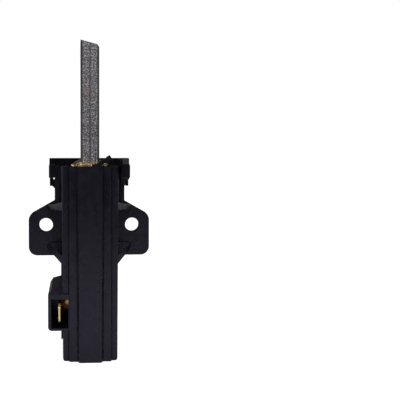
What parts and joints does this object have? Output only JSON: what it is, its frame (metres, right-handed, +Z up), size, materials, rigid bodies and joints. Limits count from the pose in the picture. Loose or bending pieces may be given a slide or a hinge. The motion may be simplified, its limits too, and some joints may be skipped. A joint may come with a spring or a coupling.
{
  "type": "carbon brush with holder",
  "caption": "Sprung rectangular carbon brush in a black moulded holder with two screw ears and a blade terminal.",
  "frame": {"origin": "midway between the two screw holes of the ears, on the mounting face", "axes": "+Z up along the carbon towards its contact face, +Y out of the mounting face, +X to the right seen from the front"},
  "size_m": [0.035, 0.0262, 0.0865],
  "materials": {
    "holder_plastic": "satin black moulding",
    "clip_plastic": "satin black moulding",
    "sleeve_brass": "bright rolled sheet",
    "blade_brass": "bright rolled sheet",
    "carbon": "fine pressed grain, ground faces",
    "bond_resin": "matt film",
    "copper": "stranded and pressed copper",
    "spring_steel": "drawn wire"
  },
  "bodies": {
    "holder": {"holder_housing": "holder_plastic", "retainer_clip": "clip_plastic", "guide_sleeve": "sleeve_brass", "terminal_blade": "blade_brass", "pressure_spring": "spring_steel", "shunt_wire": "copper"},
    "brush": {"carbon_left_half": "carbon", "carbon_right_half": "carbon", "bond_layer": "bond_resin", "shunt_plug": "copper"}
  },
  "joints": [
    {"name": "brush_slide", "type": "slide", "parent": "holder", "child": "brush", "axis": [0, 0, 1], "range_m": [-0.03, 0], "stiffness_N_per_m": 100, "springref_m": 0.02, "deforming": ["pressure_spring", "shunt_wire"]}
  ]
}
